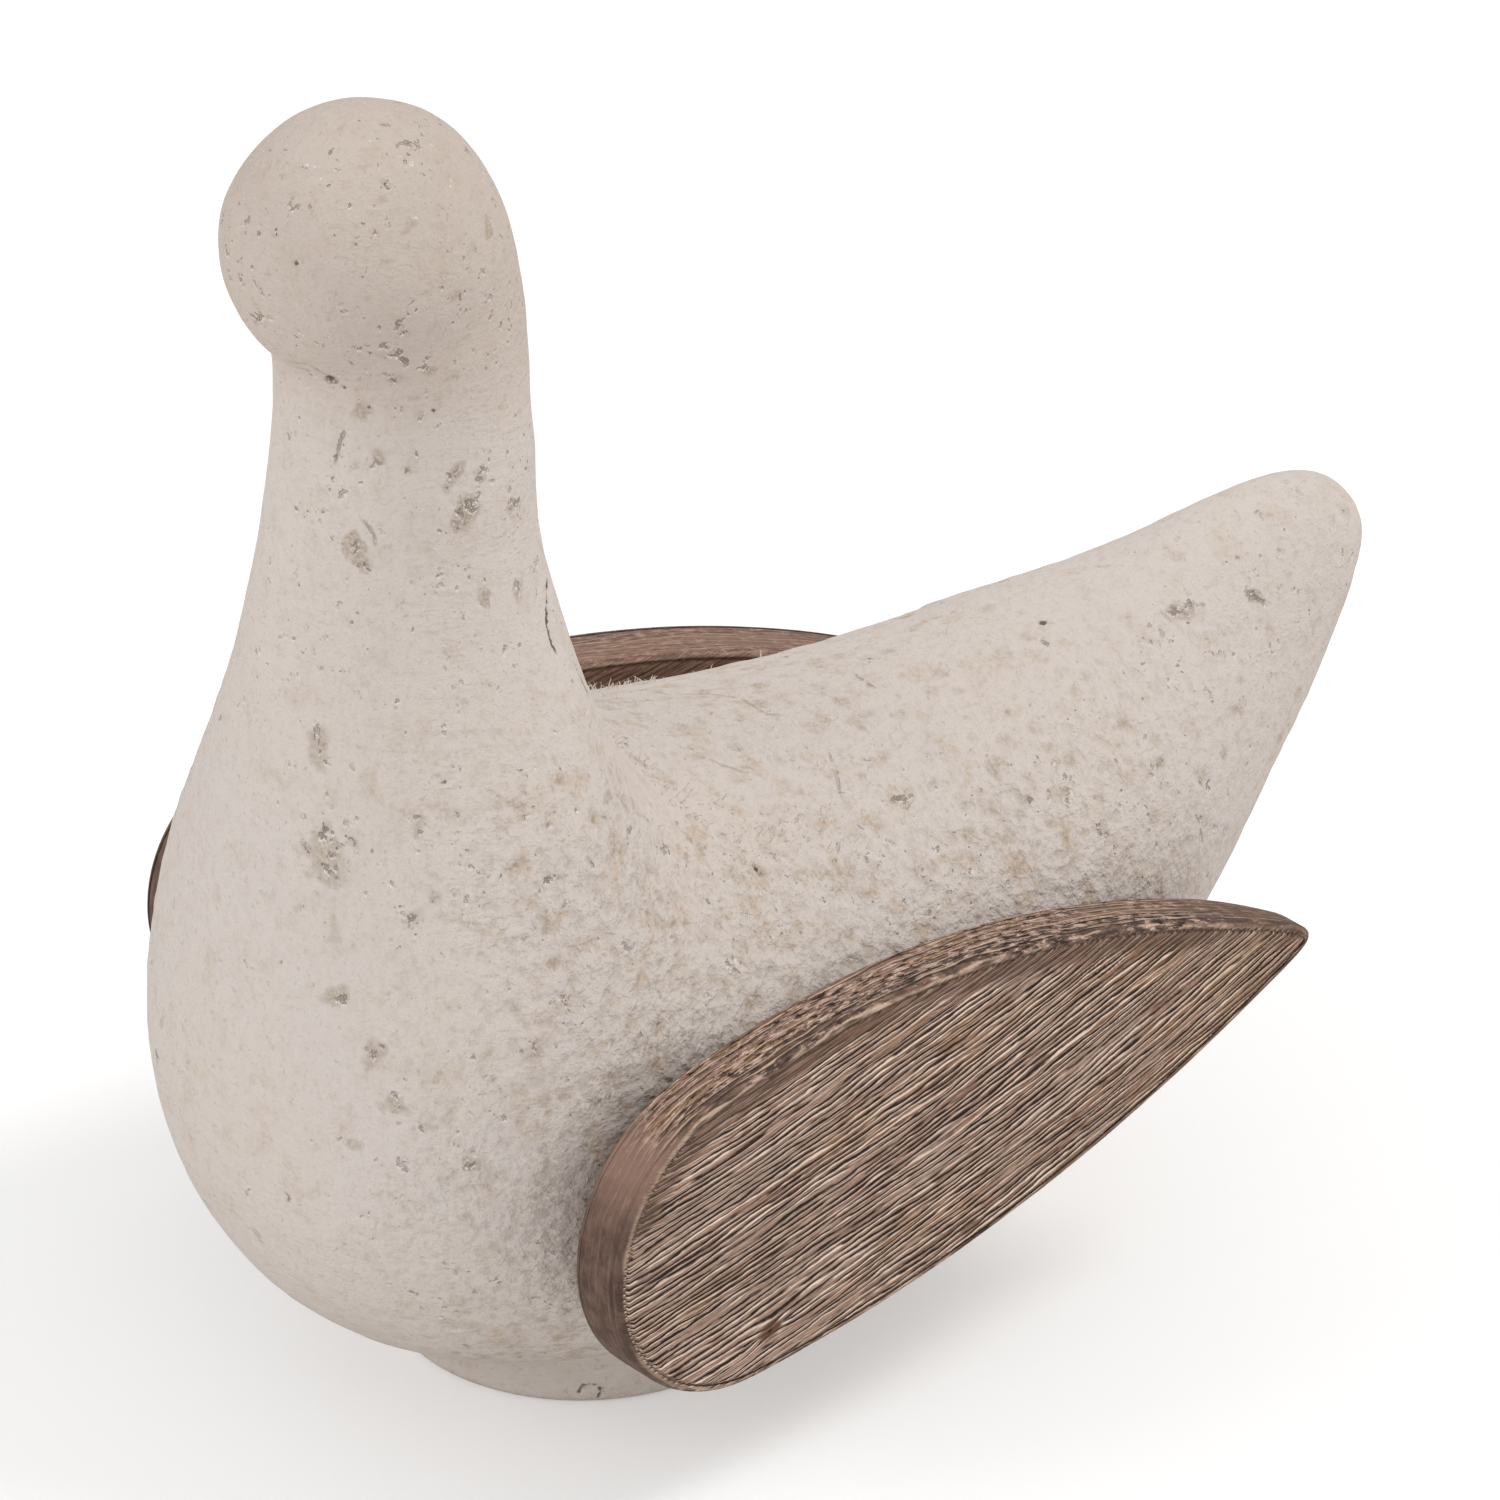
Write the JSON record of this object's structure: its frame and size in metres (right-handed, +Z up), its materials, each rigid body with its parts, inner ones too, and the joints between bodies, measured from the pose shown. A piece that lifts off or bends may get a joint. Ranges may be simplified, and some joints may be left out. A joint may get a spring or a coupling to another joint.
{
  "type": "bird figure",
  "caption": "Stylised sitting bird ornament with a chalky hollow pulp body on a low round foot and flat weathered wooden wings pegged to its flanks; stands on a table or shelf.",
  "frame": {"origin": "centre of the foot's flat rest face, on the surface that the figure stands on", "axes": "-Y is where the bird looks, +X is the bird's own left, +Z is up"},
  "size_m": [0.1208, 0.1988, 0.2002],
  "materials": {
    "pulp": "matte, rough",
    "pulp_foot": "matte, rough",
    "weathered_wood": "wire-brushed, whitewashed",
    "dowel_wood": "bare"
  },
  "bodies": {
    "root": {"body_left_half": "pulp", "body_right_half": "pulp", "foot_disc": "pulp_foot", "left_wing": "weathered_wood", "right_wing": "weathered_wood", "left_wing_front_dowel": "dowel_wood", "left_wing_rear_dowel": "dowel_wood", "right_wing_front_dowel": "dowel_wood", "right_wing_rear_dowel": "dowel_wood"}
  },
  "joints": []
}
